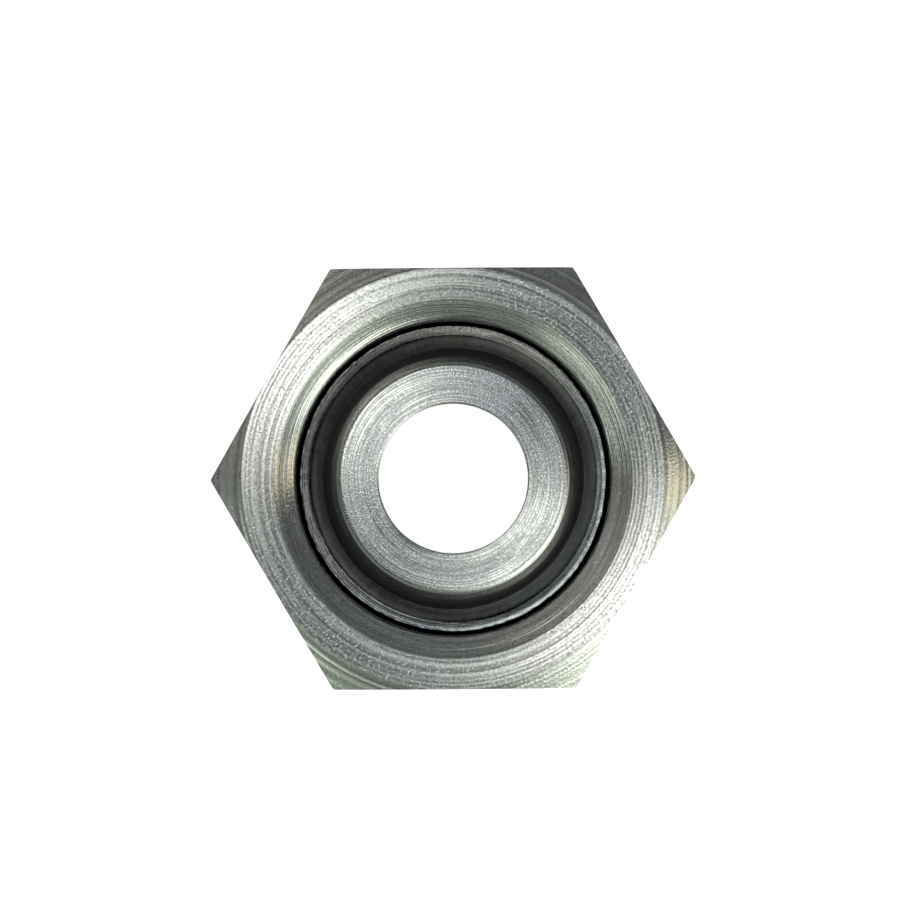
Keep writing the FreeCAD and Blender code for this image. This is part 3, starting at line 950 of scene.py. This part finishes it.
# %% The light tent
TENT_RADIUS = 0.9
TENT_STEPS = (192, 128)
TENT_GREY = (0.111, 0.121, 0.115)
PANELS = (
    # compass angle, height, width, tallness, colour
    (317.0, 72.0, 9.0, 9.0, (2.17, 2.13, 1.80)),
    (322.0, 56.0, 13.0, 10.0, (1.82, 1.74, 2.27)),
    (137.0, 72.0, 9.0, 9.0, (3.34, 3.48, 3.23)),
    (318.0, 38.0, 20.0, 16.0, (1.73, 1.87, 1.48)),
    (142.0, 38.0, 22.0, 16.0, (0.10, 0.09, 0.05)),
    (330.0, 8.0, 22.0, 14.0, (0.53, 0.59, 0.51)),
    (357.0, 22.0, 7.0, 18.0, (0.82, 0.73, 0.48)),
    (213.0, 6.0, 22.0, 14.0, (1.24, 1.41, 1.18)),
    (275.0, 8.0, 20.0, 12.0, (0.24, 0.32, 0.26)),
    (238.0, 30.0, 18.0, 16.0, (0.17, 0.22, 0.15)),
    (90.0, 89.0, 10.0, 10.0, (0.32, 0.42, 0.62)),
)


def tent_glow(directions):
    """The brightness of the tent in each direction."""
    compass = np.degrees(np.arctan2(directions[:, 1], directions[:, 0]))
    height = np.degrees(np.arcsin(np.clip(directions[:, 2], -1, 1)))
    glow = np.zeros((len(directions), 3)) + TENT_GREY
    for angle, up, width, tall, color in PANELS:
        apart = (compass - angle + 180.0) % 360.0 - 180.0
        across = apart * np.cos(np.radians(height))
        patch = np.exp(-0.5 * ((across / width) ** 2 + ((height - up) / tall) ** 2) ** 2)

        # Near the zenith all compass angles lie close together, so the far side is left out.
        patch = np.where(np.abs(apart) < 90.0, patch, 0.0)
        glow = glow + patch[:, None] * np.array(color)
    return glow


def light_tent():
    """The tent: half a sphere that glows inwards, with its colours stored at its points."""
    made = bmesh.new()
    around, up = TENT_STEPS
    bmesh.ops.create_uvsphere(made, u_segments=around, v_segments=up, radius=TENT_RADIUS)
    below = [vert for vert in made.verts if vert.co.z < -1e-4]
    bmesh.ops.delete(made, geom=below, context="VERTS")
    bmesh.ops.reverse_faces(made, faces=made.faces)
    mesh = bpy.data.meshes.new("light_tent")
    made.to_mesh(mesh)
    made.free()
    spots = np.array([vert.co for vert in mesh.vertices])
    glow = tent_glow(spots / np.linalg.norm(spots, axis=1, keepdims=True))
    layer = mesh.attributes.new("glow", "FLOAT_COLOR", "POINT")
    layer.data.foreach_set("color", np.concatenate((glow, np.ones((len(glow), 1))), axis=1).ravel())
    material = bpy.data.materials.new("tent_glow")
    material.use_nodes = True
    tree = material.node_tree
    tree.nodes.clear()
    read = tree.nodes.new("ShaderNodeAttribute")
    read.attribute_name = "glow"
    shine = tree.nodes.new("ShaderNodeEmission")
    tree.links.new(read.outputs["Color"], shine.inputs["Color"])
    out = tree.nodes.new("ShaderNodeOutputMaterial")
    tree.links.new(shine.outputs[0], out.inputs["Surface"])
    material.cycles.emission_sampling = "NONE"
    mesh.materials.append(material)
    tent = add_object("light_tent", mesh)
    tent.visible_camera = False
    print("tent: mean glow", round(float(glow.mean()), 2))


light_tent()

# %% [markdown]
# The part stands on a white table. A camera straight above sees the table through the bore, where
# little daylight reaches, so the table glows there by itself, like a light table, and so does its
# far edge, which meets the white room. Elsewhere it glows less and keeps the part's soft shadow.

# %% The table
TABLE_RINGS = (BORE_R * MM, (BORE_R + 0.2) * MM, 0.05, 0.3, 1.0, 4.0)
TABLE_SHINE = 0.8
TABLE_DROP = 2e-5


def white_table():
    """A flat disc with a shine value at each point."""
    made = bmesh.new()
    rings = []
    for radius in TABLE_RINGS:
        rings.append([made.verts.new((radius * math.cos(a), radius * math.sin(a), 0.0)) for a in ANGLES[::6]])
    made.faces.new(rings[0])
    for lower, upper in zip(rings, rings[1:]):
        for index in range(len(lower)):
            after = (index + 1) % len(lower)
            made.faces.new((lower[index], upper[index], upper[after], lower[after]))
    mesh = bpy.data.meshes.new("white_table")
    made.to_mesh(mesh)
    made.free()
    far = np.array([math.hypot(vert.co.x, vert.co.y) for vert in mesh.vertices])
    shine = np.where((far <= BORE_R * MM * 1.001) | (far > TENT_RADIUS), 1.0, TABLE_SHINE)
    mesh.attributes.new("shine", "FLOAT", "POINT").data.foreach_set("value", shine)
    return mesh


table = add_object("white_table", white_table())
table.location.z = -TABLE_DROP

# %% The table's surface


def table_surface():
    """Matt white that also glows towards the camera and in reflections."""
    material = bpy.data.materials.new("white_table")
    material.use_nodes = True
    tree = material.node_tree
    tree.nodes.clear()
    matt = tree.nodes.new("ShaderNodeBsdfDiffuse")
    matt.inputs["Color"].default_value = (0.85, 0.85, 0.85, 1)
    path = tree.nodes.new("ShaderNodeLightPath")
    seen = math_node(tree, "MAXIMUM", path.outputs["Is Camera Ray"], path.outputs["Is Glossy Ray"])
    seen = math_node(tree, "MAXIMUM", seen, path.outputs["Is Transmission Ray"])
    read = tree.nodes.new("ShaderNodeAttribute")
    read.attribute_name = "shine"
    shine = tree.nodes.new("ShaderNodeEmission")
    tree.links.new(math_node(tree, "MULTIPLY", seen, read.outputs["Fac"]), shine.inputs["Strength"])
    both = tree.nodes.new("ShaderNodeAddShader")
    tree.links.new(matt.outputs[0], both.inputs[0])
    tree.links.new(shine.outputs[0], both.inputs[1])
    out = tree.nodes.new("ShaderNodeOutputMaterial")
    tree.links.new(both.outputs[0], out.inputs["Surface"])
    material.cycles.emission_sampling = "NONE"
    return material


table.data.materials.append(table_surface())
world = bpy.data.worlds.new("white_room")
bpy.context.scene.world = world
world.use_nodes = True
world.node_tree.nodes["Background"].inputs["Color"].default_value = (1, 1, 1, 1)
world.node_tree.nodes["Background"].inputs["Strength"].default_value = 1.0
print("table and room: white")

# %% [markdown]
# The picture was taken from straight above, from about half a metre, which shows a narrow ring of
# the bore's wall. In it the part sits a little right of and below the middle, and it is turned by
# half a degree, so the camera's frame is shifted and the camera is rolled by as much.

# %% The camera
CAMERA_HEIGHT = 480.0
SENSOR = 36.0
PICTURE = 900

# One pixel in millimetres, from the distance across the flats, and the place of the axis in pixels
PIXEL = 22.0 / 421.8
CENTRE = (453.2, 478.5)
ROLL = 0.44

lens = bpy.data.cameras.new("overhead_camera")
lens.sensor_width = SENSOR
lens.lens = SENSOR * CAMERA_HEIGHT / (PICTURE * PIXEL)
lens.shift_x = (PICTURE / 2 - CENTRE[0]) / PICTURE
lens.shift_y = (CENTRE[1] - PICTURE / 2) / PICTURE
lens.clip_start = 0.01
lens.clip_end = 20.0
camera = add_object("overhead_camera", lens)
camera.location = (0.0, 0.0, (NUT_FACE + CAMERA_HEIGHT) * MM)
camera.rotation_euler = (0.0, 0.0, math.radians(-ROLL))
bpy.context.scene.camera = camera
bpy.context.scene.view_settings.view_transform = "Standard"
print("camera: lens", round(lens.lens), "mm")
